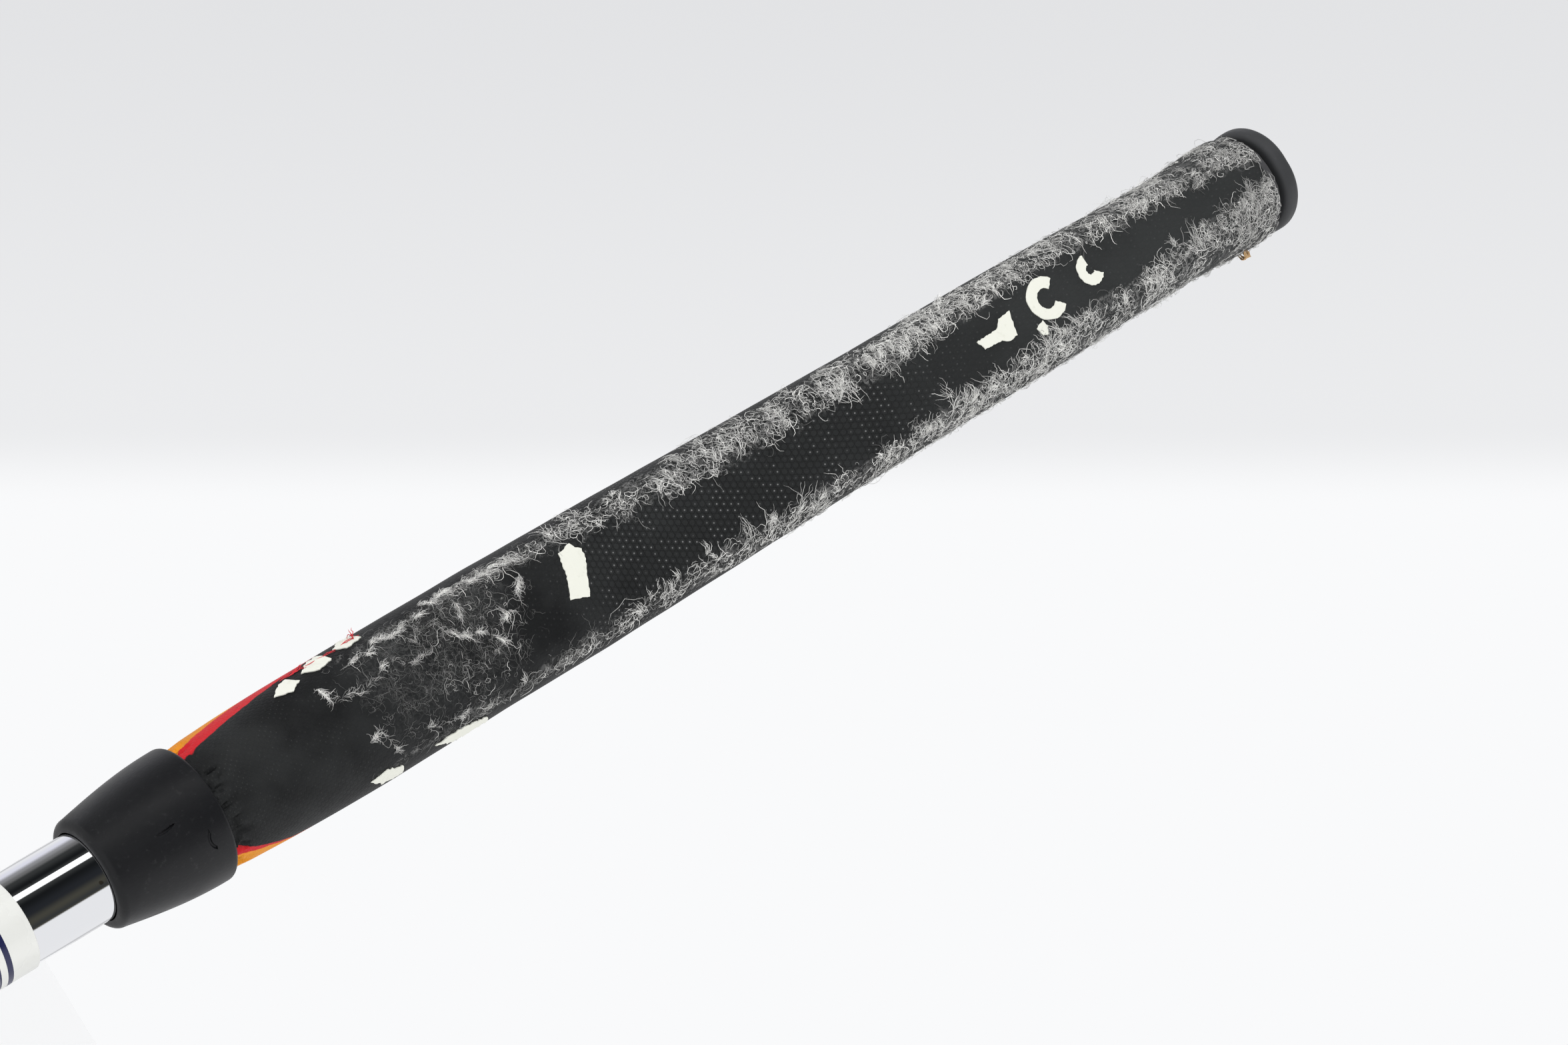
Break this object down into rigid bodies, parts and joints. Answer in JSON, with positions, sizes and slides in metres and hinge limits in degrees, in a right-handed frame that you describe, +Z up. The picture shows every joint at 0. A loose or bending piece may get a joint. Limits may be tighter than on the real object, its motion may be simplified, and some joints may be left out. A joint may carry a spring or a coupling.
{
  "type": "golf putter",
  "caption": "Golf putter at address: flat-fronted wrapped grip with nose collar and end cap, stepped chromed shaft, cranked neck, blade head with face insert and sole weights.",
  "frame": {"origin": "middle of the flat of the sole, on the ground", "axes": "+X from heel to toe, +Y towards the target (the face's normal), +Z up; the shaft leans 20 degrees towards -X"},
  "size_m": [0.3955, 0.0502, 0.8147],
  "materials": {
    "grip_cover": "matte black polyurethane wrap, embossed with small scales, scuffed and fuzzy along both shoulders",
    "grip_foam": "closed-cell foam underlisting, unfinished",
    "grip_tape": "creped double-sided paper tape",
    "moulded_rubber": "satin moulded rubber",
    "chromed_steel": "bright chrome plate",
    "band_vinyl": "white printed film with dark rings",
    "plug_steel": "plain",
    "satin_steel": "satin milled",
    "insert_urethane": "satin white urethane",
    "insert_film": "adhesive foam film",
    "weight_metal": "turned",
    "sight_line_paint": "white paint fill"
  },
  "bodies": {
    "root": {"grip_wrap": "grip_cover", "grip_core": "grip_foam", "grip_tape": "grip_tape", "nose_collar": "moulded_rubber", "end_cap": "moulded_rubber", "shaft": "chromed_steel", "shaft_band": "band_vinyl", "tip_weight": "plug_steel", "neck": "satin_steel", "head_body": "satin_steel", "face_insert": "insert_urethane", "insert_tape": "insert_film", "heel_weight": "weight_metal", "toe_weight": "weight_metal", "sight_line": "sight_line_paint"}
  },
  "joints": []
}
